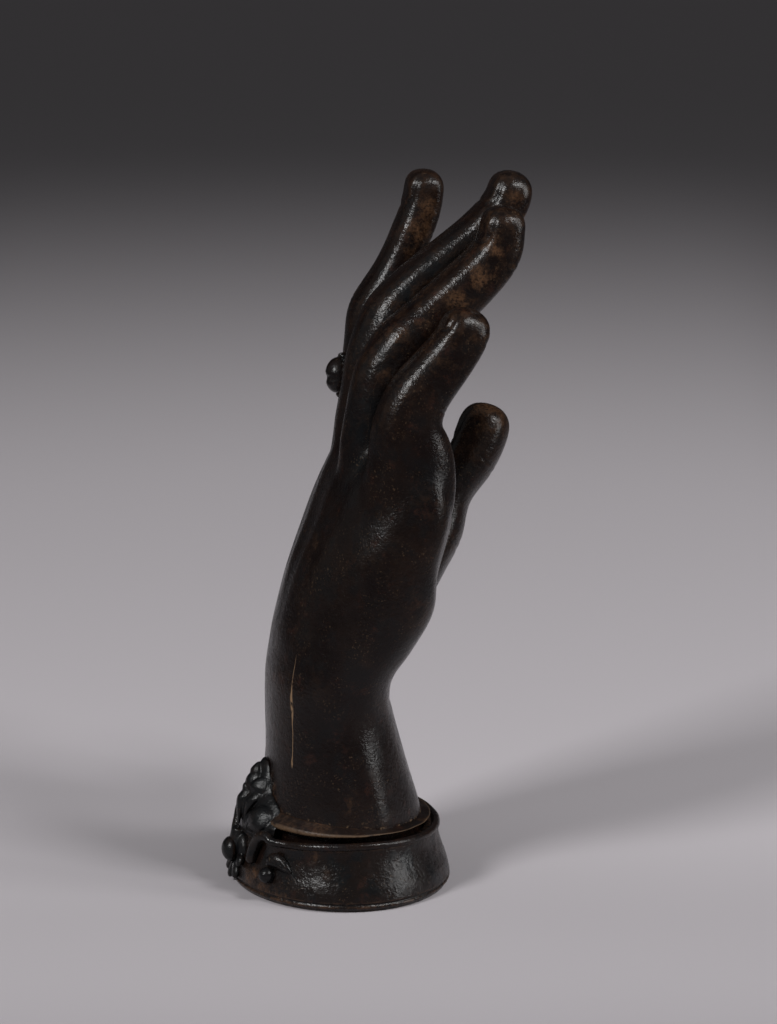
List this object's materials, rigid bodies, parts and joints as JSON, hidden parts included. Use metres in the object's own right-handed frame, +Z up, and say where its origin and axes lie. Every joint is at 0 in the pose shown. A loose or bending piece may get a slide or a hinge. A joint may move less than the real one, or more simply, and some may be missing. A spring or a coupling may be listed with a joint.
{
  "type": "hand paperweight",
  "caption": "Cast bronze right hand with curved fingers and a finger ring, standing upright in a flared oval cuff with a palmette; holds papers down by its weight.",
  "frame": {"origin": "middle of the flat underside of the base", "axes": "+Z up along the wrist, +X towards the palm side, +Y towards the thumb side"},
  "size_m": [0.0532, 0.0476, 0.1156],
  "materials": {
    "hand_bronze": "dark brown patina, waxed, worn to ochre on the raised places",
    "cuff_bronze": "dark grey-brown patina, waxed, mottled",
    "collar_bronze": "brown patina with tan dust in the joint",
    "wire_bronze": "dark patina rubbed bright along the top",
    "palmette_bronze": "near-black patina, dull in the hollows",
    "rivet_bronze": "near-black patina, waxed",
    "bead_bronze": "dark patina, rubbed",
    "leaf_bronze": "dark patina, rubbed",
    "ring_bronze": "dark brown patina, waxed",
    "stone_bronze": "dark brown patina, waxed",
    "plate_brass": "dull aged brass",
    "screw_steel": "darkened steel"
  },
  "bodies": {
    "root": {"hand": "hand_bronze", "wrist_collar": "collar_bronze", "cuff_band": "cuff_bronze", "cuff_rim_wire": "wire_bronze", "palmette": "palmette_bronze", "boss_rivet": "rivet_bronze", "bead_thumb_side": "bead_bronze", "bead_little_side": "bead_bronze", "leaf_thumb_side": "leaf_bronze", "leaf_little_side": "leaf_bronze", "finger_ring": "ring_bronze", "ring_stone": "stone_bronze", "base_plate": "plate_brass", "base_screw_a": "screw_steel", "base_screw_b": "screw_steel"}
  },
  "joints": []
}
